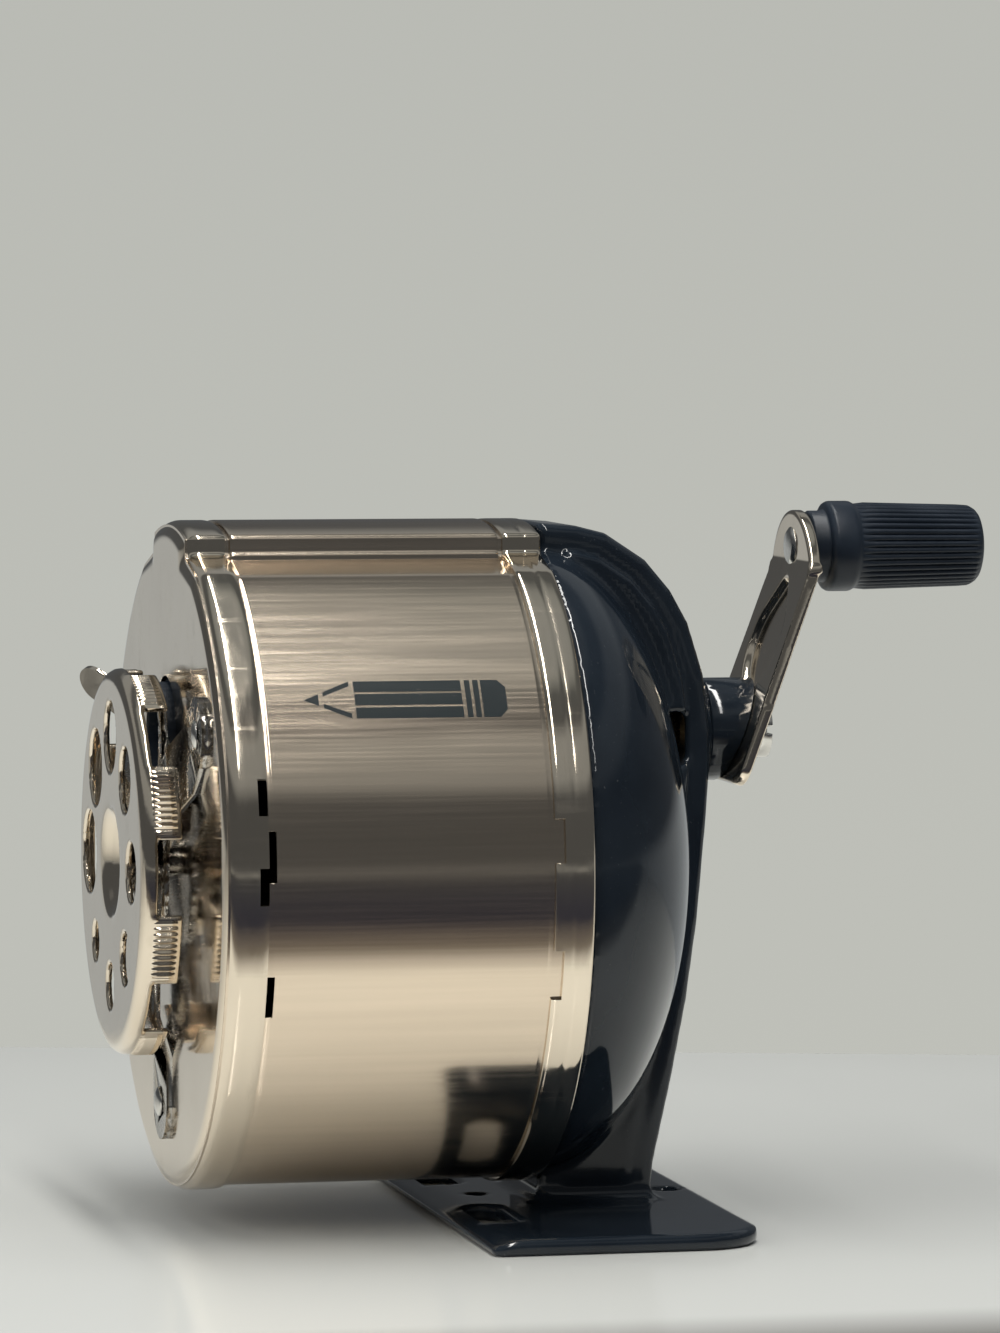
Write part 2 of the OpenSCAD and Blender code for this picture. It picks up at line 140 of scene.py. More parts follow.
def sheet_grid(outer, inner, skip=()):
    """Sheet of metal between two grids of points (n round, m along), with the skipped cells left open."""
    n, m = outer.shape[:2]
    verts = np.concatenate([outer.reshape(-1, 3), inner.reshape(-1, 3)])
    live = {(i, j) for i in range(n) for j in range(m - 1)} - set(skip)

    def at(i, j, side):
        """Index of a grid point on the outer (0) or inner (1) face."""
        return side * n * m + (i % n) * m + j

    faces = []
    for i, j in live:
        a, b, c, d = (i, j), (i + 1, j), (i + 1, j + 1), (i, j + 1)
        faces.append([at(*a, 0), at(*b, 0), at(*c, 0), at(*d, 0)])
        faces.append([at(*d, 1), at(*c, 1), at(*b, 1), at(*a, 1)])
        left, right = ((i - 1) % n, j), ((i + 1) % n, j)
        for near, p, q in ((left, d, a), (right, b, c), ((i, j - 1), a, b), ((i, j + 1), c, d)):
            if near not in live:
                faces.append([at(*q, 0), at(*p, 0), at(*p, 1), at(*q, 1)])
    return verts, faces


def lathe(profile, x, z, segments, wave=None):
    """Closed ring of quads from a closed profile of radius and Y, turned about a line parallel to Y."""
    prof = np.array(profile, float)
    n = len(prof)
    verts, faces = [], []
    for i in range(segments):
        a = 2 * math.pi * i / segments
        for r, y in prof:
            rr = r if wave is None else wave(r, y, a)
            verts.append((x + rr * math.cos(a), y, z + rr * math.sin(a)))
    for i in range(segments):
        i2 = (i + 1) % segments
        for k in range(n):
            k2 = (k + 1) % n
            faces.append([i * n + k, i2 * n + k, i2 * n + k2, i * n + k2])
    return verts, faces


def arc(cx, cy, r, a0, a1, n):
    """Points of an arc in the plane, angles in degrees."""
    t = np.radians(np.linspace(a0, a1, n))
    return [(cx + r * math.cos(v), cy + r * math.sin(v)) for v in t]


# ---------------------------------------------------------------- solids by distance field
def smin(a, b, k):
    """Union of two distances with a fillet of size k."""
    h = np.clip(0.5 + 0.5 * (b - a) / k, 0, 1)
    return b * (1 - h) + a * h - k * h * (1 - h)


def smax(a, b, k):
    """Intersection of two distances with a rounded edge of size k."""
    return -smin(-a, -b, k)


def polygon_distance(pts, u, v):
    """Signed distance to a closed polygon."""
    d2, sign = None, 1.0
    for i, (ax, ay) in enumerate(pts):
        bx, by = pts[i - 1]
        ex, ey, wx, wy = bx - ax, by - ay, u - ax, v - ay
        t = np.clip((wx * ex + wy * ey) / (ex * ex + ey * ey), 0, 1)
        q = (wx - ex * t) ** 2 + (wy - ey * t) ** 2
        d2 = q if d2 is None else np.minimum(d2, q)
        c1, c2, c3 = v >= ay, v < by, ex * wy > ey * wx
        flip = (c1 & c2 & c3) | (~c1 & ~c2 & ~c3)
        sign = np.where(flip, -sign, sign)
    return sign * np.sqrt(d2)


def line_distance(pts, u, v):
    """Distance to an open line of segments."""
    d2 = None
    for (ax, ay), (bx, by) in zip(pts[:-1], pts[1:]):
        ex, ey, wx, wy = bx - ax, by - ay, u - ax, v - ay
        t = np.clip((wx * ex + wy * ey) / (ex * ex + ey * ey), 0, 1)
        q = (wx - ex * t) ** 2 + (wy - ey * t) ** 2
        d2 = q if d2 is None else np.minimum(d2, q)
    return np.sqrt(d2)


def link_distance(u, v, r1, r2, h):
    """Distance to a link with round ends of two radii."""
    b = (r1 - r2) / h
    a = math.sqrt(1 - b * b)
    x = np.abs(u)
    k = -b * x + a * v
    side = a * x + b * v - r1
    return np.where(k < 0, np.hypot(x, v) - r1, np.where(k > a * h, np.hypot(x, v - h) - r2, side))


def surface(field, lo, hi, step, rounds=3):
    """Quads on the zero surface of a field, each corner drawn onto the surface."""
    ax = [np.arange(a, b + step, step) for a, b in zip(lo, hi)]
    vals = np.broadcast_to(
        field(ax[0][:, None, None], ax[1][None, :, None], ax[2][None, None, :]),
        tuple(len(a) for a in ax)).astype(np.float32)
    neg = vals < 0
    nx, ny, nz = (len(a) - 1 for a in ax)
    total = np.zeros((nx, ny, nz, 3), np.float32)
    count = np.zeros((nx, ny, nz), np.float32)
    for axis in range(3):
        others = [k for k in range(3) if k != axis]
        for p in (0, 1):
            for q in (0, 1):
                sl0, sl1 = [None] * 3, [None] * 3
                sl0[axis], sl1[axis] = slice(0, -1), slice(1, None)
                for k, s in zip(others, (p, q)):
                    sl0[k] = sl1[k] = slice(s, vals.shape[k] - 1 + s)
                a, b = vals[tuple(sl0)], vals[tuple(sl1)]
                cross = neg[tuple(sl0)] != neg[tuple(sl1)]
                t = np.where(cross, a / np.where(cross, a - b, 1), 0)
                total[..., axis] += np.where(cross, t, 0)
                total[..., others[0]] += np.where(cross, p, 0)
                total[..., others[1]] += np.where(cross, q, 0)
                count += cross
    live = count > 0
    index = np.full(live.shape, -1)
    index[live] = np.arange(live.sum())
    cells = np.argwhere(live)
    pts = np.array([a[0] for a in ax]) + step * (cells + total[live] / count[live][:, None])
    faces = []
    for axis in range(3):
        o1, o2 = [k for k in range(3) if k != axis]
        sl0, sl1 = [slice(1, -1)] * 3, [slice(1, -1)] * 3
        sl0[axis], sl1[axis] = slice(0, -1), slice(1, None)
        cross = np.argwhere(neg[tuple(sl0)] != neg[tuple(sl1)])
        base = cross.copy()
        base[:, o1] += 1
        base[:, o2] += 1
        quad = []
        for d1, d2 in ((-1, -1), (0, -1), (0, 0), (-1, 0)):
            c = base.copy()
            c[:, o1] += d1
            c[:, o2] += d2
            quad.append(index[c[:, 0], c[:, 1], c[:, 2]])
        faces.append(np.stack(quad, 1))
    faces = np.concatenate(faces)
    faces = faces[(faces >= 0).all(1)]
    e = step * 0.05
    for _ in range(rounds):
        x, y, z = pts.T
        f = field(x, y, z)
        g = np.stack([field(x + e, y, z) - field(x - e, y, z), field(x, y + e, z) - field(x, y - e, z),
                      field(x, y, z + e) - field(x, y, z - e)], 1) / (2 * e)
        move = f[:, None] * g / np.maximum((g * g).sum(1), 0.25)[:, None]
        pts = pts - np.clip(move, -0.4 * step, 0.4 * step)
    return pts, faces


def field_piece(name, field, lo, hi, step, material, body, nodes, angle=50):
    """Piece whose surface is where a distance field is zero."""
    pts, faces = surface(field, lo, hi, step)
    return finish_mesh(name, bm_from(pts, faces.tolist()), material, body, nodes, angle=angle)


def refine(node, material, bevel=0.12, angle=28):
    """A CAD node with its flat faces made whole and every edge broken, as the real part has."""
    bm = bmesh.new()
    bm.from_mesh(frame["nodes"][node].data)
    bmesh.ops.remove_doubles(bm, verts=bm.verts, dist=2e-6)
    bmesh.ops.dissolve_limit(bm, angle_limit=math.radians(0.7), verts=bm.verts, edges=bm.edges)
    body = frame["nodes"][node]["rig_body"]
    return finish_mesh(node + "_piece", bm, material, body, (node,), bevel=bevel, angle=angle)


# ---------------------------------------------------------------- materials
class Shader:
    """A Principled material with a few procedural layers."""

    def __init__(self, name, metallic=0.0, **sockets):
        """Names the material and sets plain sockets, an underscore standing for a space."""
        self.material = bpy.data.materials.new(name)
        self.material.use_nodes = True
        self.tree = self.material.node_tree
        self.bsdf = self.tree.nodes["Principled BSDF"]
        self.bsdf.inputs["Metallic"].default_value = metallic
        for key, value in sockets.items():
            self.bsdf.inputs[key.replace("_", " ")].default_value = value
        self.coord = self.tree.nodes.new("ShaderNodeTexCoord")
        self.normal = None

    def noise(self, scale, detail=3.0, stretch=(1, 1, 1), roughness=0.55, distortion=0.0):
        """Fractal noise over the object, from 0 to 1."""
        mapping = self.tree.nodes.new("ShaderNodeMapping")
        mapping.inputs["Scale"].default_value = stretch
        self.tree.links.new(self.coord.outputs["Object"], mapping.inputs["Vector"])
        node = self.tree.nodes.new("ShaderNodeTexNoise")
        node.inputs["Scale"].default_value = scale
        node.inputs["Detail"].default_value = detail
        node.inputs["Roughness"].default_value = roughness
        node.inputs["Distortion"].default_value = distortion
        self.tree.links.new(mapping.outputs["Vector"], node.inputs["Vector"])
        return node.outputs["Fac"]

    def ramp(self, source, *stops):
        """Value or colour picked along a source."""
        node = self.tree.nodes.new("ShaderNodeValToRGB")
        ramp = node.color_ramp
        while len(ramp.elements) < len(stops):
            ramp.elements.new(0.5)
        for element, (pos, value) in zip(ramp.elements, stops):
            element.position = pos
            rgb = value if isinstance(value, tuple) else (value, value, value)
            element.color = (*rgb, 1)
        self.tree.links.new(source, node.inputs["Fac"])
        return node.outputs["Color"]

    def math(self, operation, a, b):
        """One arithmetic step."""
        node = self.tree.nodes.new("ShaderNodeMath")
        node.operation = operation
        for socket, value in zip(node.inputs, (a, b)):
            if isinstance(value, (int, float)):
                socket.default_value = value
            else:
                self.tree.links.new(value, socket)
        return node.outputs[0]

    def mix(self, factor, a, b):
        """Blend of two colours."""
        node = self.tree.nodes.new("ShaderNodeMix")
        node.data_type = "RGBA"
        for socket, value in ((node.inputs[0], factor), (node.inputs[6], a), (node.inputs[7], b)):
            if isinstance(value, tuple):
                socket.default_value = (*value, 1)
            elif isinstance(value, (int, float)):
                socket.default_value = value
            else:
                self.tree.links.new(value, socket)
        return node.outputs[2]

    def edge_wear(self, low=0.53, high=0.62):
        """1 on convex edges, 0 elsewhere."""
        geometry = self.tree.nodes.new("ShaderNodeNewGeometry")
        return self.ramp(geometry.outputs["Pointiness"], (low, 0.0), (high, 1.0))

    def bump(self, height, strength, distance):
        """Adds a relief on top of the ones before."""
        node = self.tree.nodes.new("ShaderNodeBump")
        node.inputs["Strength"].default_value = strength
        node.inputs["Distance"].default_value = distance
        self.tree.links.new(height, node.inputs["Height"])
        if self.normal is not None:
            self.tree.links.new(self.normal, node.inputs["Normal"])
        self.normal = node.outputs["Normal"]
        self.tree.links.new(self.normal, self.bsdf.inputs["Normal"])

    def paint(self, colour=None, rough=None):
        """Links colour and roughness, gives the material."""
        if colour is not None:
            self.tree.links.new(colour, self.bsdf.inputs["Base Color"])
        if rough is not None:
            self.tree.links.new(rough, self.bsdf.inputs["Roughness"])
        return self.material


def nickel_plate():
    """Bright nickel plate with a warm cast, faint ripples, handling marks and fine scratches."""
    s = Shader("nickel_plate", 1.0)
    cloud = s.noise(38, 4)
    smear = s.noise(170, 5, (1, 2.4, 0.7), 0.62)
    scratch = s.noise(900, 2, (1, 0.05, 1), 0.4, 0.6)
    light, dark = (0.76, 0.665, 0.54), (0.68, 0.59, 0.475)
    tone = s.mix(s.ramp(cloud, (0.3, 0.0), (0.7, 1.0)), light, dark)
    tone = s.mix(s.ramp(smear, (0.60, 0.0), (0.78, 0.5)), tone, (0.56, 0.48, 0.38))
    hazy, scored = s.ramp(smear, (0.4, 0.07), (0.75, 0.17)), s.ramp(scratch, (0.62, 0.0), (0.75, 0.08))
    rough = s.math("ADD", hazy, scored)
    s.bump(s.noise(95, 2), 0.07, 0.0004)
    s.bump(scratch, 0.04, 0.00002)
    return s.paint(tone, rough)


def brushed_nickel():
    """Sheet brushed along the drum, with soft cloudy bands in the grain."""
    s = Shader("brushed_nickel", 1.0)
    grain = s.noise(2600, 3, (1, 0.012, 1), 0.6)
    coarse = s.noise(620, 3, (1, 0.02, 1), 0.55)
    cloud = s.noise(30, 3, (1, 0.5, 1))
    light, dark = (0.72, 0.60, 0.47), (0.66, 0.55, 0.43)
    tone = s.mix(s.ramp(coarse, (0.35, 0.0), (0.65, 1.0)), light, dark)
    tone = s.mix(s.ramp(cloud, (0.35, 0.0), (0.7, 0.55)), tone, (0.66, 0.57, 0.46))
    rough = s.math("ADD", s.ramp(grain, (0.3, 0.11), (0.7, 0.19)), s.ramp(cloud, (0.4, 0.0), (0.8, 0.04)))
    s.bump(coarse, 0.05, 0.00002)
    s.bump(grain, 0.05, 0.00001)
    return s.paint(tone, rough)


def black_enamel():
    """Glossy black baked enamel over a casting, with a soft orange peel and dust."""
    s = Shader("black_enamel", 0.0, Coat_Weight=0.05, Coat_Roughness=0.03, Specular_IOR_Level=0.4)
    peel = s.noise(420, 2)
    dust = s.noise(2600, 2)
    patch = s.noise(55, 4)
    dark, light = (0.008, 0.012, 0.018), (0.015, 0.021, 0.029)
    tone = s.mix(s.ramp(patch, (0.35, 0.0), (0.7, 1.0)), dark, light)
    tone = s.mix(s.ramp(dust, (0.70, 0.0), (0.80, 0.35)), tone, (0.16, 0.17, 0.17))
    rough = s.ramp(patch, (0.35, 0.06), (0.72, 0.13))
    s.bump(s.noise(60, 2), 0.06, 0.0005)
    s.bump(peel, 0.04, 0.00006)
    return s.paint(tone, rough)


def black_plastic():
    """Moulded black plastic with a fine spark texture and paler rubbed places."""
    s = Shader("black_plastic", 0.0, Specular_IOR_Level=0.3)
    fine = s.noise(3200, 2)
    patch = s.noise(130, 3)
    dark, light = (0.007, 0.011, 0.018), (0.014, 0.020, 0.030)
    tone = s.mix(s.ramp(patch, (0.3, 0.0), (0.7, 1.0)), dark, light)
    tone = s.mix(s.edge_wear(), tone, (0.030, 0.037, 0.045))
    s.bump(fine, 0.18, 0.00004)
    return s.paint(tone, s.ramp(patch, (0.3, 0.30), (0.75, 0.44)))


def plain_steel(name, light, dark, rough_lo, rough_hi, stretch=(1, 1, 1)):
    """Steel or bronze with machining marks, oil haze and worn edges."""
    s = Shader(name, 1.0)
    marks = s.noise(1500, 3, stretch)
    haze = s.noise(190, 4)
    worn = tuple(min(1.0, c * 1.25) for c in light)
    tone = s.mix(s.ramp(haze, (0.3, 0.0), (0.7, 1.0)), light, dark)
    tone = s.mix(s.edge_wear(), tone, worn)
    s.bump(marks, 0.12, 0.00005)
    return s.paint(tone, s.ramp(marks, (0.3, rough_lo), (0.7, rough_hi)))


def print_ink():
    """Matt black screen print, slightly uneven, with pinholes that show the metal's tone."""
    s = Shader("print_ink", 0.0, Specular_IOR_Level=0.2)
    fine = s.noise(2200, 3, (1, 0.3, 1))
    ink, pinhole = (0.010, 0.016, 0.018), (0.05, 0.05, 0.045)
    tone = s.mix(s.ramp(fine, (0.66, 0.0), (0.80, 1.0)), ink, pinhole)
    s.bump(fine, 0.2, 0.00002)
    return s.paint(tone, s.ramp(fine, (0.3, 0.30), (0.7, 0.42)))


def stage_paint(name):
    """Pale coated paper that fades into painted shade and painted darkness further out along X, as if the
    table ended in a dark room.
    """
    s = Shader(name, 0.0, Specular_IOR_Level=0.5)
    sep = s.tree.nodes.new("ShaderNodeSeparateXYZ")
    s.tree.links.new(s.coord.outputs["Object"], sep.inputs[0])
    reach = 0.5     # metres from the object over which the ramp runs
    paper, shade, painted_far_shade = (0.72, 0.725, 0.695), (0.14, 0.125, 0.11), (0.018, 0.019, 0.034)
    # Painted shade: the paper darkens with X into painted shade, then into painted darkness.
    tone = s.ramp(s.math("DIVIDE", sep.outputs[0], reach), (0.185, paper), (0.235, shade), (0.36, painted_far_shade))
    s.bump(s.noise(900, 2), 0.03, 0.00005)
    return s.paint(tone, s.ramp(s.noise(7, 2), (0.3, 0.10), (0.7, 0.16)))


NICKEL = nickel_plate()
BRUSHED = brushed_nickel()
ENAMEL = black_enamel()
PLASTIC = black_plastic()
INK = print_ink()
SPRING = plain_steel("spring_steel", (0.34, 0.32, 0.29), (0.22, 0.21, 0.19), 0.16, 0.30)
BRIGHT = plain_steel("bright_steel", (0.66, 0.64, 0.60), (0.54, 0.52, 0.48), 0.14, 0.26)
TOOL = plain_steel("cutter_steel", (0.48, 0.48, 0.48), (0.34, 0.34, 0.35), 0.16, 0.34, (1, 0.1, 1))
ZINC = plain_steel("cast_zinc", (0.50, 0.50, 0.49), (0.38, 0.38, 0.37), 0.30, 0.48)
BRONZE = plain_steel("bearing_bronze", (0.66, 0.44, 0.20), (0.50, 0.32, 0.14), 0.24, 0.38)


# ---------------------------------------------------------------- drum
FOOT_Z = 40.9       # height of the rib's foot about the drum axis
RIB_BAND = 7.5      # width of the flattened band beside the rib


def drum_outline():
    """Points round the drum from the top, X and Z about the axis, with outward normals and a rib weight."""
    top = [(x, math.sqrt(RIB_R ** 2 - x * x)) for x in np.linspace(0, RIB_HALF, 60)]
    rise = top[-1][1] - FOOT_Z
    wall = [(RIB_HALF + 0.15 * t, top[-1][1] - rise * t) for t in np.linspace(0, 1, 20)[1:]]
    join = RIB_HALF + RIB_BAND
    shore = (join, math.sqrt(CAP_R ** 2 - join ** 2))
    band = [(wall[-1][0] + (shore[0] - wall[-1][0]) * t, FOOT_Z + (shore[1] - FOOT_Z) * t)
            for t in np.linspace(0, 1, 60)[1:]]
    start = math.degrees(math.atan2(shore[1], shore[0]))
    rest = arc(0, 0, CAP_R, start, -90, 900)[1:]
    half = np.array(top + wall + band + rest)
    whole = np.concatenate([half, (half * (-1, 1))[::-1][1:-1]])
    closed = np.concatenate([whole, whole[:1]])
    length = np.concatenate([[0], np.cumsum(np.hypot(*np.diff(closed, axis=0).T))])
    fine = 0.05                         # spacing of the dense outline
    near_step, far_step = 0.26, 0.95    # spacing that is kept by the rib and elsewhere
    corner = 0.36                       # how far the corners are softened
    reach = 25                          # length of outline that belongs to the rib, each way
    span = 30
    n = int(length[-1] / fine)
    s = np.arange(n) * length[-1] / n
    dense = np.stack([np.interp(s, length, closed[:, k]) for k in (0, 1)], 1)
    sigma = corner / fine
    kernel = np.exp(-0.5 * (np.arange(-span, span + 1) / sigma) ** 2)
    kernel /= kernel.sum()
    pad = np.concatenate([dense[-span:], dense, dense[:span]])
    smooth = np.stack([np.convolve(pad[:, k], kernel, "valid") for k in (0, 1)], 1)
    tangent = np.roll(smooth, -3, 0) - np.roll(smooth, 3, 0)
    tangent /= np.linalg.norm(tangent, axis=1)[:, None]
    normal = np.stack([-tangent[:, 1], tangent[:, 0]], 1)
    normal *= np.sign((normal * smooth).sum(1))[:, None]
    near_rib = np.minimum(s, length[-1] - s) < reach
    keep, last = [], -9.0
    for i in range(n):
        if s[i] - last >= (near_step if near_rib[i] else far_step):
            keep.append(i)
            last = s[i]
    keep = np.array(keep)
    width = np.abs(smooth[keep, 0])
    rib = ((width < RIB_HALF + 0.6) & (smooth[keep, 1] > 0)).astype(float)
    return smooth[keep], normal[keep], rib


OUT_P, OUT_N, OUT_RIB = drum_outline()


def inset_points(inset):
    """Outline drawn in by an inset: square to it when small, without folding at the rib when large."""
    inset = np.reshape(inset, (-1, 1)) * np.ones((len(OUT_P), 1))
    square = OUT_P - OUT_N * inset
    star = OUT_P * (1 - inset / np.linalg.norm(OUT_P, axis=1)[:, None])
    width = np.abs(OUT_P[:, 0])
    beside = np.clip(1 - (width - RIB_HALF) / RIB_BAND, 0, 1)
    share = np.where(width < RIB_HALF, width / RIB_HALF, beside) * (OUT_P[:, 1] > 0)
    star[:, 0] -= np.sign(OUT_P[:, 0]) * share * inset[:, 0] * 0.9
    blend = np.clip((inset - 0.5) / 0.5, 0, 1)
    return square * (1 - blend) + star * blend


def drum_rings(rows):
    """Grid of points: each row is (y, inset) or (y, inset, inset on the rib)."""
    grid = np.zeros((len(OUT_P), len(rows), 3))
    for j, row in enumerate(rows):
        p = inset_points(row[1] + (0 if len(row) < 3 else (row[2] - row[1]) * OUT_RIB))
        grid[:, j] = np.stack([p[:, 0], np.full(len(p), row[0]), p[:, 1] + AXIS_Z], 1)
    return grid


def cells_at(rows, y0, y1, z0, z1):
    """Cells of a drum grid inside a window, heights about the axis."""
    found = []
    for i in range(len(OUT_P)):
        p = (OUT_P[i] + OUT_P[(i + 1) % len(OUT_P)]) / 2
        if abs(p[0]) < 30 or not z0 < p[1] < z1:
            continue
        found += [(i, j) for j in range(len(rows) - 1) if y0 < (rows[j][0] + rows[j + 1][0]) / 2 < y1]
    return found


# Heights about the axis of the holes where the sheets are clinched together, and their depth along Y.
CAP_NOTCHES = ((9.0, 14.2), (-1.9, 3.0))
SHELL_SLOTS = ((1.0, 7.0), (-17.0, -11.0))
RING_SLOTS = ((2.5, 8.5), (-15.0, -9.0))
NOTCH = 1.2


def front_cap():
    """Pressed cap: rounded rim, skirt with a curled edge, face with the pencil hole and the post hole."""
    rim = 2.3               # radius of the rounded rim
    port_r, post_r = 8.0, 2.15
    y0, y1 = CAP_LO[1], CAP_HI[1]
    outer, inner = [], []
    for inset in (rim + 1.2, rim + 0.4):
        outer.append((y0, inset))
        inner.append((y0 + SHEET, inset))
    for a in np.radians(np.linspace(0, 90, 9)):
        c, s = math.cos(a), math.sin(a)
        outer.append((y0 + rim - rim * c, rim - rim * s))
        inner.append((y0 + rim - (rim - SHEET) * c, rim - (rim - SHEET) * s))
    for y in (y0 + rim + 0.9, y1 - NOTCH, y1 - 0.75, y1 - 0.35, y1):
        flare = 0.0 if y < y1 - 0.4 else (0.05 if y < y1 else 0.14)
        outer.append((y, flare))
        inner.append((y, SHEET))
    skip = [c for z0, z1 in CAP_NOTCHES for c in cells_at(outer, y1 - NOTCH - 0.01, y1 + 1, z0, z1)]
    verts, faces = sheet_grid(drum_rings(outer), drum_rings(inner), skip)
    n, m = len(OUT_P), len(outer)
    centre_wall = {i * m for i in range(n)} | {n * m + i * m for i in range(n)}
    faces = [f for f in faces if not set(f) <= centre_wall]
    bm = bm_from(verts, faces)
    bm.verts.ensure_lookup_table()
    loops = [[bm.verts[side * n * m + i * m] for i in range(n)] for side in (0, 1)]
    for loop, y in zip(loops, (y0, y0 + SHEET)):
        edges = []
        for i in range(n):
            pair = (loop[i - 1], loop[i])
            edges.append(bm.edges.get(pair) or bm.edges.new(pair))
        for radius, z in ((port_r, CRANK_Z), (post_r, AXIS_Z)):
            ring = [bm.verts.new((radius * math.cos(t) * MM, y * MM, (z + radius * math.sin(t)) * MM))
                    for t in np.linspace(0, 2 * math.pi, 72, endpoint=False)]
            edges += [bm.edges.new((ring[i - 1], ring[i])) for i in range(len(ring))]
        bmesh.ops.triangle_fill(bm, use_beauty=True, edges=edges, normal=(0, -1, 0))
    finish_mesh("cap_shell", bm, NICKEL, "receptacle", ("front_cap",), angle=40)


def drum_shell():
    """Brushed shell, stepped down at both ends to pass under cap and ring, flush with them on the rib."""
    y0, y1 = SHELL_LO[1], SHELL_HI[1]
    front, back = CAP_HI[1], RING_LO[1]
    low = LAP - 0.02
    rows = [(y0, LAP), (front - 1.5, LAP), (front - 1.25, LAP)]
    rows += [(front + 0.10, LAP), (front + 0.62, LAP), (front + 0.68, low, 0.10), (front + 0.80, low, 0.02),
             (front + 1.05, low, 0.0)]
    rows += [(y, low, 0.0) for y in np.linspace(front + 1.6, back - 1.6, 16)]
    rows += [(back - 1.05, low, 0.0), (back - 0.80, low, 0.02), (back - 0.68, low, 0.10), (back - 0.62, LAP),
             (back - 0.10, LAP), (y1, LAP)]
    inner = [(r[0], r[1] + SHEET, (r[2] if len(r) > 2 else r[1]) + SHEET) for r in rows]
    skip = []
    for z0, z1 in SHELL_SLOTS:
        skip += cells_at(rows, front + 0.1, front + 1.0, z0, z1)
    for z0, z1 in CAP_NOTCHES:
        skip += cells_at(rows, front - 1.4, front + 0.1, z0, z1)
    verts, faces = sheet_grid(drum_rings(rows), drum_rings(inner), skip)
    finish_mesh("shavings_shell", bm_from(verts, faces), BRUSHED, "receptacle",
                ("drum_shell",), bevel=0.06, angle=30)


def rear_ring():
    """Band round the open end of the drum, with a fine groove and an edge that turns in."""
    y0, y1 = RING_LO[1], RING_HI[1]
    groove = y0 + 2.75
    rows = [(y0, 0.16), (y0 + 0.3, 0.02), (y0 + 0.8, 0.0), (y0 + 1.3, 0.0), (y0 + 2.0, 0.0)]
    rows += [(groove - 0.25, 0.0), (groove, 0.06), (groove + 0.25, 0.0), (y0 + 3.5, 0.0), (y0 + 4.2, 0.0)]
    rows += [(y1 - 0.55, 0.02), (y1 - 0.25, 0.10), (y1 - 0.05, 0.30)]
    inner = [(r[0], SHEET + 0.03) for r in rows]
    skip = []
    for z0, z1 in RING_SLOTS:
        skip += cells_at(rows, y0 - 1, y0 + 1.3, z0, z1)
    verts, faces = sheet_grid(drum_rings(rows), drum_rings(inner), skip)
    finish_mesh("rear_band", bm_from(verts, faces), NICKEL, "receptacle", ("rear_ring",),
                bevel=0.06, angle=30)


def drum_patch(name, outline, material, lift=0.03):
    """Flat print wrapped onto the drum: outline in (y, degrees above the horizontal) on the +X side."""
    bm = bmesh.new()
    pts = np.array(outline, float)
    cols = 36
    ys = np.linspace(pts[:, 0].min(), pts[:, 0].max(), cols)
    low = [np.interp(y, *edge_of(pts, False)) for y in ys]
    high = [np.interp(y, *edge_of(pts, True)) for y in ys]
    r = CAP_R - LAP + 0.02 + lift
    rows = 8
    grid = []
    for y, a, b in zip(ys, low, high):
        col = []
        for t in np.linspace(0, 1, rows):
            ang = math.radians(a + (b - a) * t)
            col.append(bm.verts.new((r * math.cos(ang) * MM, y * MM, (AXIS_Z + r * math.sin(ang)) * MM)))
        grid.append(col)
    for i in range(cols - 1):
        for k in range(rows - 1):
            bm.faces.new((grid[i][k], grid[i + 1][k], grid[i + 1][k + 1], grid[i][k + 1]))
    return finish_mesh(name, bm, material, "receptacle")


def edge_of(pts, upper):
    """The upper or lower edge of an outline given as lower points forward, then upper points back."""
    half = len(pts) // 2
    side = pts[half:][::-1] if upper else pts[:half]
    return side[:, 0], side[:, 1]


def pencil_print():
    """Plain outline of a pencil, printed on the drum."""
    mid, h = 33.0, 3.6      # degrees above the horizontal, and half its height in degrees
    tip, cone, end, ferrule, cap = -42.0, -36.0, -21.4, -18.9, -15.6    # places along Y
    lead, wood = tip + 1.9, tip + 2.5

    def patch(name, *corners):
        """Printed patch, its corners given as Y and a share of the half height."""
        drum_patch(name, [(y, mid + share * h) for y, share in corners], INK)

    patch("print_lead", (tip, 0), (lead, -0.32), (lead, 0.32), (tip, 0))
    patch("print_cone_low", (wood, -0.42), (cone, -1), (cone, -0.74), (wood, -0.2))
    patch("print_cone_high", (wood, 0.2), (cone, 0.74), (cone, 1), (wood, 0.42))
    for k, (a, b) in enumerate(((-1.0, -0.42), (-0.30, 0.30), (0.42, 1.0))):
        patch("print_body_%d" % k, (cone + 0.6, a), (end, a), (end, b), (cone + 0.6, b))
    for k in range(2):
        y = end + 0.5 + 1.1 * k
        patch("print_ferrule_%d" % k, (y, -1), (y + 0.7, -1), (y + 0.7, 1), (y, 1))
    patch("print_rubber", (ferrule + 0.1, -1), (cap - 1.0, -1), (cap, -0.6), (cap, 0.6), (cap - 1.0, 1),
          (ferrule + 0.1, 1))


# ---------------------------------------------------------------- dial
HOLE_MIN, HOLE_MAX = 5.4, 11.1      # smallest and largest pencil hole
HOLES = 8
FIRST_HOLE = 225                    # degrees, the smallest hole
GRIP_HALF = 11.25                   # half the angle of one grip


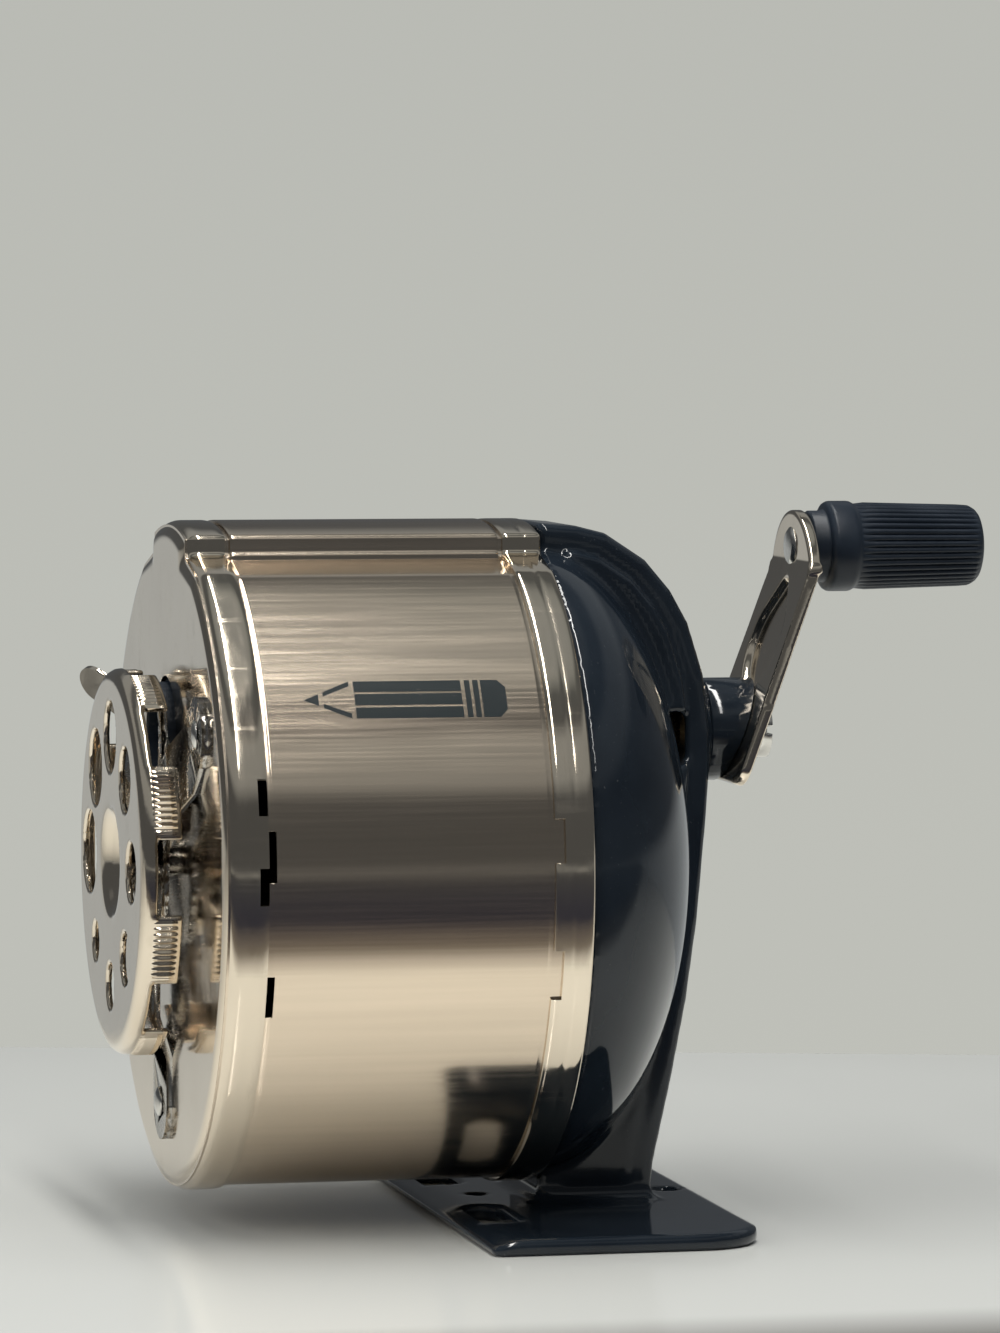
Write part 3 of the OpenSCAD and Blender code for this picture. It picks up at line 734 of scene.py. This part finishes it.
def dial_field(x, y, z):
    """Sheet dial: flat face with a dished middle, rounded rim, eight grips and eight holes."""
    zc = z - AXIS_Z
    r = np.hypot(x, zc)
    t = 0.42            # half the sheet
    rim = 1.3           # radius of the rounded rim
    pitch = 360 / HOLES
    d, edge = DIAL_Y + t, DIAL_R - t
    dish = [(0, d + 2.75), (2.4, d + 2.6), (4.4, d + 2.0), (5.8, d + 1.2), (6.9, d + 0.35)]
    dish += [(7.6, d + 0.05), (8.6, d)]
    corner = [(edge - rim + rim * math.sin(a), d + rim - rim * math.cos(a)) for a in np.radians((20, 45, 70))]
    line = dish + [(edge - rim, d)] + corner + [(edge, d + rim)]
    face = line_distance(line + [(edge, DIAL_Y + 1.7)], r, y) - t
    skirt = line_distance([(edge, d + rim), (edge, DIAL_HI[1] - t)], r, y) - t
    angle = np.degrees(np.arctan2(zc, x))
    off = np.abs(angle % pitch - pitch / 2)
    skirt = smax(skirt, (off - GRIP_HALF) * math.radians(1) * DIAL_R, 0.35)
    body = smin(face, skirt, 0.3)
    for i in range(HOLES):
        a = math.radians(FIRST_HOLE + pitch * i)
        radius = (HOLE_MIN + i * (HOLE_MAX - HOLE_MIN) / (HOLES - 1)) / 2
        hole = np.hypot(x - HOLE_CIRCLE * math.cos(a), zc - HOLE_CIRCLE * math.sin(a)) - radius
        body = smax(body, -hole, 0.35)
    return body


def dial_knurl(index):
    """Ribbed band on one grip of the dial."""
    middle = (index + 0.5) * 360 / HOLES
    ribs, steps = 11, 6
    height = 0.34       # how far the ribs stand out
    span = GRIP_HALF - 1.0
    n = ribs * steps
    y0, y1 = DIAL_Y, DIAL_HI[1]
    ys = [y0 + 1.45, y0 + 1.7, *np.linspace(y0 + 2.0, y1 - 0.75, 5), y1 - 0.45]
    ends = (-0.3, 0.55, 1, 1, 1, 1, 1, -0.3)
    bm = bmesh.new()
    grid = []
    for i in range(n + 1):
        u = i / n
        ang = math.radians(middle - span + 2 * span * u)
        wave = 0.5 - 0.5 * math.cos(2 * math.pi * u * ribs)
        fade = min(1.0, 10 * u, 10 * (1 - u))
        col = []
        for y, end in zip(ys, ends):
            r = DIAL_R + height * wave * fade * max(end, 0) - (0.15 if end < 0 else 0)
            col.append(bm.verts.new((r * math.cos(ang) * MM, y * MM, (AXIS_Z + r * math.sin(ang)) * MM)))
        grid.append(col)
    for i in range(n):
        for k in range(len(ys) - 1):
            bm.faces.new((grid[i][k], grid[i + 1][k], grid[i + 1][k + 1], grid[i][k + 1]))
    finish_mesh("dial_grip_%d" % index, bm, NICKEL, "dial", angle=60)


def pencil_dial():
    """The dial and the ribbed bands on its grips."""
    pad = 0.7
    lo = (-DIAL_R - pad, DIAL_Y - pad, AXIS_Z - DIAL_R - pad)
    hi = (DIAL_R + pad, DIAL_HI[1] + pad, AXIS_Z + DIAL_R + pad)
    field_piece("size_dial", dial_field, lo, hi, 0.33, NICKEL, "dial", ("pencil_dial",))
    for index in range(HOLES):
        dial_knurl(index)


# ---------------------------------------------------------------- casting
DOME_START = DOME_Y + 0.3
DOME_R, DOME_DEEP = 42.0, 20.5
WALL = 2.4                          # wall of the dome
BASE_T = 2.2                        # thickness of the base plate
LEG_HALF = 9.5
SLOT_X, SLOT_Y, SLOT_R, SLOT_STRAIGHT = 18, 13.3, 2.5, 5.5
REAR_HOLE = (14.6, 2.0)             # place along Y and radius
TOOL_HOLE = (-11.4, 1.2)
BOSS_CIRCLE, BOSS_R = 18.6, 3.0     # bosses for the screws of the ring gear
RECESS_R, RECESS_Y = 16.4, 2.8      # recess that takes the ring gear
BORE_R = 5.25                       # bore for the bushing
WINDOW = (13.3, -0.6, 1.7)          # place along Y and over the crank axis, and half width
# Side outline of spine and leg, Y then Z.
SPINE = [(-4.8, 1), (10.3, 1), (11, 7.3), (13.4, 18.2), (15.4, 28.6), (16.9, 39.6), (18.1, 53.6), (18.5, 59.6),
         (18.5, 64.6), (17.6, 72.1), (15.4, 79.1), (13, 83.4), (9.5, 87.5), (4, 91.1), (0, 92.1),
         (DOME_START, 92.5), (DOME_START, 81.6), (-4.8, 57.6)]


def ellipse_distance(r, y, a, b):
    """Distance to a half ellipsoid on a cylinder of the same radius."""
    y = np.maximum(y, 0)
    k0 = np.sqrt((r / a) ** 2 + (y / b) ** 2)
    k1 = np.sqrt((r / a ** 2) ** 2 + (y / b ** 2) ** 2)
    return k0 * (k0 - 1) / np.maximum(k1, 1e-4)


def rounded_corner(x, y, half_x, y_lo, y_hi, r_front, r_back):
    """Distance to the base plate outline."""
    cy = (y_lo + y_hi) / 2
    r = np.where(y > cy, r_back, r_front)
    qx = np.abs(x) - half_x + r
    qy = np.abs(y - cy) - (y_hi - y_lo) / 2 + r
    return np.hypot(np.maximum(qx, 0), np.maximum(qy, 0)) + np.minimum(np.maximum(qx, qy), 0) - r


def base_field(x, y, z):
    """Base plate with its two slots, screw hole, small hole and front chamfer."""
    foot = rounded_corner(x, y, CAST_HI[0], CAST_LO[1], -CAST_LO[1], 1.5, 9.0)
    plate = smax(foot, np.abs(z - BASE_T / 2) - BASE_T / 2, 0.9)
    plate = smax(plate, (z - BASE_T + (-15.2 - y) * 0.32) * 0.95, 0.5)
    for sx in (-SLOT_X, SLOT_X):
        slot = np.hypot(np.maximum(np.abs(x - sx) - SLOT_STRAIGHT, 0), y + SLOT_Y) - SLOT_R
        plate = smax(plate, -slot, 0.45)
    for (hole_y, hole_r), edge in ((REAR_HOLE, 0.45), (TOOL_HOLE, 0.4)):
        plate = smax(plate, -(np.hypot(x, y - hole_y) - hole_r), edge)
    return plate


def hollow_field(x, y, r, z):
    """Space inside the dome, less the bearing boss and the three screw bosses."""
    rc = np.hypot(x, z - CRANK_Z)
    void = ellipse_distance(r, y - DOME_START, DOME_R - WALL, DOME_DEEP - WALL)
    inner = smax(rc - 8.2, 6.8 - y, 0.4)
    for a in np.radians((90, 210, 330)):
        cx, cz = BOSS_CIRCLE * math.cos(a), CRANK_Z + BOSS_CIRCLE * math.sin(a)
        inner = np.minimum(inner, smax(np.hypot(x - cx, z - cz) - BOSS_R, -0.8 - y, 0.3))
    inner = smax(inner, -smax(rc - RECESS_R, y - RECESS_Y, 0.2), 0.2)
    return smax(void, -inner, 0.8)


def casting_field(x, y, z):
    """Stand in one casting: dome, spine and leg, base plate and bearing boss."""
    r = np.hypot(x, z - AXIS_Z)
    rc = np.hypot(x, z - CRANK_Z)
    dome = ellipse_distance(r, y - DOME_START, DOME_R, DOME_DEEP)
    dome = smax(dome, np.minimum(r - DOME_R + 0.4, DOME_START - y), 0.25)
    dome = smax(dome, DOME_Y - 3 - y, 0.3)
    side = polygon_distance(SPINE, y, z)
    spine = smax(side, np.abs(x) - LEG_HALF, 1.5)
    high = np.clip((z - 45.6) / 14, 0, 1)
    ledge = smax(side + 3.4, np.abs(x) - 9.6 - 1.5 * high * high * (3 - 2 * high), 0.8)
    body = smin(dome, smin(spine, ledge, 0.4), 0.7)
    body = smin(body, base_field(x, y, z), 2.2)
    boss = smax(smax(rc - 7.6, y - HUB_LO[1] + 0.3, 0.4), 9 - y, 0.4)
    body = smin(body, boss, 1.4)
    body = smax(body, -hollow_field(x, y, r, z), 0.5)
    body = smax(body, BORE_R - rc, 0.3)
    wy, wz, half = WINDOW
    window = np.hypot(y - wy, np.maximum(np.abs(z - CRANK_Z - wz) - 2, 0)) - half
    return smax(body, -smax(window, 4.5 - np.abs(x), 0.3), 0.6)


def stand():
    """The whole casting."""
    lo = (CAST_LO[0] - 0.9, CAST_LO[1] - 1.0, CAST_LO[2] - 0.9)
    hi = (CAST_HI[0] + 0.9, CAST_HI[1] + 0.9, CAST_HI[2] + 0.9)
    field_piece("cast_stand", casting_field, lo, hi, 0.62, ENAMEL, "stand",
                ("stand_casting",), 75)


# ---------------------------------------------------------------- crank
LEAN = math.radians(19.9)
BEND = THROW - 2.8                  # height over the crank axis where the arm turns upright
ARM_Y = 23.9                        # front of the arm at the crank axis
PLATE_T = 1.6
ARM_HALF, ARM_TOP_R = 10.8, 10.2    # half width at the hub, radius of the round end
ARM_REACH = 4.9                     # how far the round end stands over the knob axis
CHANNEL_V = 12.6                    # place of the channel's wide end along the arm


def arm_outline(x, v):
    """Distance to the flat outline of the leaning plate."""
    foot, corner, deep = 7.1, 2.4, 6.0
    top = (THROW + ARM_REACH - ARM_TOP_R) / math.cos(LEAN)
    upper = np.maximum(link_distance(x, v, ARM_HALF, ARM_TOP_R, top), -v)
    qx = np.abs(x) - ARM_HALF + corner
    qv = np.abs(v - (deep - foot) / 2) - (deep + foot) / 2 + corner
    lower = np.hypot(np.maximum(qx, 0), np.maximum(qv, 0)) + np.minimum(np.maximum(qx, qv), 0) - corner
    return np.minimum(upper, lower)


def arm_field(x, y, z):
    """Stamped arm: leaning plate with a pressed channel, upright end plate and a boss round the screw."""
    dy, dz = y - ARM_Y, z - CRANK_Z
    n = dy * math.cos(LEAN) - dz * math.sin(LEAN)
    v = dy * math.sin(LEAN) + dz * math.cos(LEAN)
    web = smax(arm_outline(x, v), np.abs(n - PLATE_T / 2) - PLATE_T / 2, 0.45)
    swell = smax(link_distance(x, v - CHANNEL_V, 7.4, 2.6, 5.6), np.abs(n - 1.4) - 0.8, 0.6)
    web = smin(web, swell, 0.6)
    pocket = smax(link_distance(x, v - CHANNEL_V, 6.6, 2.0, 6.8), n - 1.0, 0.7)
    web = smax(web, -pocket, 0.8)
    web = smax(web, dz - BEND - 0.3, 0.2)
    end_y = ARM_Y + BEND * math.tan(LEAN) + 0.15
    plate = np.hypot(x, dz - THROW - ARM_REACH + ARM_TOP_R) - ARM_TOP_R
    plate = smax(plate, np.abs(y - end_y - PLATE_T / 2) - PLATE_T / 2, 0.45)
    plate = smax(plate, BEND - 0.2 - dz, 0.2)
    body = smin(web, plate, 0.9)
    boss = smax(smax(np.hypot(x, dz) - 4.6, y - ARM_Y - 2.8, 0.4), 0.5 - n, 0.3)
    return smin(body, boss, 0.5)


def crank_arm():
    """The arm with its channel."""
    pad = 0.6
    field_piece("pressed_arm", arm_field, ARM_LO - pad, ARM_HI + pad, 0.26, NICKEL, "crank",
                ("crank_arm",), 60)


def crank_knob():
    """Moulded grip with a collar, a ring and fine ribs running its length."""
    y, end = KNOB_LO[1], KNOB_HI[1]
    bore, depth = 2.05, 18.3
    ring = y + 2.6
    ribs, per = 40, 8
    start, stop = ring + 4.0, end - 1.5
    prof = [(bore, y), (4.45, y), (4.65, y + 0.08), (4.8, y + 0.3), (4.8, ring - 0.6), (4.95, ring - 0.35)]
    prof += [(5.5, ring - 0.25), (5.85, ring - 0.05), (6.05, ring + 0.3), (6.1, ring + 0.6)]
    prof += [(6.1, ring + 2.9), (6.05, ring + 3.25), (5.9, ring + 3.55), (5.75, ring + 3.8)]
    prof += [(5.72 - 0.42 * t, start + (stop - start) * t) for t in np.linspace(0, 1, 12)]
    prof += [(5.22, end - 1.1), (5.0, end - 0.7), (4.6, end - 0.35), (4.0, end - 0.12), (3.3, end)]
    prof += [(0.02, end), (0.02, y + depth), (bore, y + depth)]

    def wave(r, yy, a):
        """Radius of the grip with its ribs, which fade out at both ends."""
        if not start - 0.05 < yy < end - 1.0 or r < 4:
            return r
        fade = min(1.0, (yy - start) / 0.6, (end - 1.0 - yy) / 0.7)
        groove = abs(math.sin(a * ribs / 2)) ** 0.7
        return r + fade * (0.36 * groove - 0.16)

    verts, faces = lathe(prof, 0, KNOB_Z, ribs * per, wave)
    finish_mesh("hand_grip", bm_from(verts, faces), PLASTIC, "knob", ("crank_knob",),
                angle=38)


# ---------------------------------------------------------------- cutters
def flute_depth(u):
    """Share of the full flute depth at a place u, 0 to 1, across one flute."""
    if u < 0.14 or u > 0.93:
        return 0.0
    return (u - 0.14) / 0.4 if u < 0.54 else 1.0 - (u - 0.54) / 0.46 * 0.55


def cutter(node, side, body):
    """Fluted cutter with its drive pinion, on its tilted pin."""
    flutes, per, rows = 14, 8, 46
    r, length, twist = 5.8, 27.0, math.radians(90)
    bore, back = 1.56, -3.6
    tilt, offset = math.radians(11) * side, 7.0 * side
    outer = np.zeros((flutes * per, rows, 3))
    inner = np.zeros_like(outer)
    for j in range(rows):
        t = j / (rows - 1)
        y = back - length * t
        end = min(t * 30, (1 - t) * 30, 1.0)
        for i in range(flutes * per):
            a = 2 * math.pi * i / (flutes * per) + twist * t
            rr = r - flute_depth((i % per) / per) - 0.25 * (1 - end)
            outer[i, j] = (rr * math.cos(a), y, rr * math.sin(a))
            inner[i, j] = (bore * math.cos(a), y, bore * math.sin(a))
    verts, faces = sheet_grid(outer, inner)
    bm = bm_from(verts, faces)
    teeth, root, tip = 12, 4.9, 6.5
    gear_o, gear_i = np.zeros((teeth * 4, 4, 3)), np.zeros((teeth * 4, 4, 3))
    for i in range(teeth * 4):
        a = (i // 4 + 0.5 + (-0.3, -0.12, 0.12, 0.3)[i % 4]) * 2 * math.pi / teeth
        rr = (root, tip, tip, root)[i % 4]
        for j, (y, chamfer) in enumerate(((-1.5, 0.2), (-1.3, 0), (1.3, 0), (1.5, 0.2))):
            gear_o[i, j] = ((rr - chamfer) * math.cos(a), y, (rr - chamfer) * math.sin(a))
            gear_i[i, j] = (bore * math.cos(a), y, bore * math.sin(a))
    parts = [sheet_grid(gear_o, gear_i)]
    parts.append(lathe([(bore, -4.0), (4.6, -4.0), (4.6, 1.75), (4.45, 1.9), (bore, 1.9)], 0, 0, 64))
    for v, f in parts:
        other = bm_from(v, f)
        mesh = bpy.data.meshes.new("part")
        other.to_mesh(mesh)
        other.free()
        bm.from_mesh(mesh)
        bpy.data.meshes.remove(mesh)
    turn = Matrix.Translation((offset * MM, 0, CRANK_Z * MM)) @ Matrix.Rotation(tilt, 4, "Z")
    bmesh.ops.transform(bm, matrix=turn, verts=bm.verts)
    finish_mesh(node + "_piece", bm, TOOL, body, (node,), angle=25)


# ---------------------------------------------------------------- stage, light and camera
def floor():
    """Table top whose far edge runs a little askew behind the object, in metres."""
    size, edge, skew = 2.4, -0.1823, 0.276      # half width, X of the far edge at Y = 0, its slope
    bm = bmesh.new()
    corners = ((edge - skew * size, -size), (edge + skew * size, size), (size, size), (size, -size))
    bm.faces.new([bm.verts.new((x, y, 0.0)) for x, y in corners])
    mesh = bpy.data.meshes.new("floor")
    bm.to_mesh(mesh)
    bm.free()
    obj = bpy.data.objects.new("floor", mesh)
    bpy.context.scene.collection.objects.link(obj)
    obj.data.materials.append(stage_paint("floor_paper"))


def area_light(name, location, target, size_x, size_y, power, colour, glossy=True):
    """Rectangular lamp aimed at a point, in metres and watts; not glossy means unseen in reflections."""
    data = bpy.data.lights.new(name, "AREA")
    data.shape = "RECTANGLE"
    data.size, data.size_y = size_x, size_y
    data.energy = power
    data.color = colour
    obj = bpy.data.objects.new(name, data)
    obj.location = location
    obj.rotation_mode = "QUATERNION"
    obj.rotation_quaternion = (Vector(target) - Vector(location)).to_track_quat("-Z", "Y")
    obj.visible_glossy = glossy
    bpy.context.scene.collection.objects.link(obj)


def world():
    """Pale surroundings: bands of tone by height for reflections, plain pale grey behind the object."""
    w = bpy.data.worlds.new("studio")
    bpy.context.scene.world = w
    w.use_nodes = True
    t = w.node_tree
    t.nodes.clear()
    coord = t.nodes.new("ShaderNodeTexCoord")
    sep = t.nodes.new("ShaderNodeSeparateXYZ")
    t.links.new(coord.outputs["Generated"], sep.inputs[0])

    def ramp(stops):
        """Tones by elevation in degrees."""
        node = t.nodes.new("ShaderNodeValToRGB")
        r = node.color_ramp
        while len(r.elements) < len(stops):
            r.elements.new(0.5)
        for e, (degrees, colour) in zip(r.elements, stops):
            e.position = 0.5 + 0.5 * math.sin(math.radians(degrees))
            e.color = (*colour, 1)
        half = t.nodes.new("ShaderNodeMath")
        half.operation = "MULTIPLY_ADD"
        half.inputs[1].default_value = 0.5
        half.inputs[2].default_value = 0.5
        t.links.new(sep.outputs[2], half.inputs[0])
        t.links.new(half.outputs[0], node.inputs["Fac"])
        return node.outputs["Color"]

    wall, dim, lamp = (0.44, 0.46, 0.46), (0.085, 0.09, 0.095), (0.29, 0.305, 0.31)
    bands = ramp([(-20, (0.38, 0.40, 0.40)), (-2, wall), (1, dim), (24, dim), (30, (0.28, 0.295, 0.30)),
                  (44, lamp), (50, (0.095, 0.10, 0.105)), (60, (0.10, 0.11, 0.115)), (66, (0.26, 0.28, 0.285)),
                  (85, (0.30, 0.32, 0.33))])
    plain = ramp([(-12, (0.535, 0.54, 0.495)), (2, (0.49, 0.497, 0.46)), (15, (0.47, 0.475, 0.44))])
    path = t.nodes.new("ShaderNodeLightPath")
    mix = t.nodes.new("ShaderNodeMix")
    mix.data_type = "RGBA"
    t.links.new(path.outputs["Is Camera Ray"], mix.inputs[0])
    t.links.new(bands, mix.inputs[6])
    t.links.new(plain, mix.inputs[7])
    back = t.nodes.new("ShaderNodeBackground")
    out = t.nodes.new("ShaderNodeOutputWorld")
    t.links.new(mix.outputs[2], back.inputs["Color"])
    t.links.new(back.outputs[0], out.inputs["Surface"])


def lights():
    """Two strips over the drum for its streaks, and two broad lamps that only fill."""
    warm, white = (1.0, 0.99, 0.96), (1.0, 1.0, 0.98)
    over_drum, middle = (0, -0.02, 0.05), (0, 0, 0)
    area_light("strip_high", (0.06, -0.02, 0.75), over_drum, 0.055, 0.9, 2.2, warm)
    area_light("strip_low", (0.26, -0.02, 0.70), over_drum, 0.05, 0.9, 2.0, warm)
    area_light("soft_top", (0.1, -0.1, 1.3), middle, 1.6, 1.6, 13.0, white, False)
    area_light("soft_left", (0.3, -1.3, 0.5), middle, 1.4, 1.0, 11.0, white, False)


def camera():
    """Long lens from the drum's near side, a little above."""
    azimuth, elevation, roll = (math.radians(a) for a in (77.152, 3.457, 0.15))
    distance, lens = 0.867131, 175.36834     # metres, millimetres
    target = Vector((0, -8.242, AXIS_Z + 25.205)) * MM
    flat = math.cos(elevation)
    back = Vector((math.sin(azimuth) * flat, -math.cos(azimuth) * flat, math.sin(elevation)))
    level = (-back).cross(Vector((0, 0, 1))).normalized()
    upright = level.cross(-back)
    right = level * math.cos(roll) + upright * math.sin(roll)
    up = upright * math.cos(roll) - level * math.sin(roll)
    data = bpy.data.cameras.new("camera")
    data.sensor_width = 36
    data.lens = lens
    data.clip_start, data.clip_end = 0.05, 50
    obj = bpy.data.objects.new("camera", data)
    bpy.context.scene.collection.objects.link(obj)
    turn = Matrix((right, up, back)).transposed().to_4x4()
    obj.matrix_world = Matrix.Translation(target + back * distance) @ turn
    bpy.context.scene.camera = obj


# ---------------------------------------------------------------- everything
camera()
world()
lights()
floor()
stand()
front_cap()
drum_shell()
rear_ring()
pencil_print()
pencil_dial()
crank_arm()
crank_knob()
cutter("cutter_a", 1, "cutter_a")
cutter("cutter_b", -1, "cutter_b")
refine("ring_gear", ZINC, 0.1)
refine("ring_gear_screws", BRIGHT, 0.12)
refine("spindle_bushing", BRONZE, 0.1)
refine("dial_bracket", SPRING, 0.14)
refine("bracket_rivets", BRIGHT, 0.1)
refine("pencil_guide", PLASTIC, 0.12)
refine("dial_spring", SPRING, 0.08)
refine("lever_rivet", BRIGHT, 0.1)
refine("thumb_lever", NICKEL, 0.16)
refine("dial_post", SPRING, 0.12)
refine("post_clip", SPRING, 0.08)
refine("spindle", BRIGHT, 0.12)
refine("cutter_carrier", ZINC, 0.2)
refine("carrier_screws", BRIGHT, 0.08)
refine("cutter_pins", BRIGHT, 0.1)
refine("crank_hub", ENAMEL, 0.4)
refine("crank_screw", BRIGHT, 0.2)
refine("knob_stud", BRIGHT, 0.12)

scene = bpy.context.scene
scene.view_settings.view_transform = "Standard"
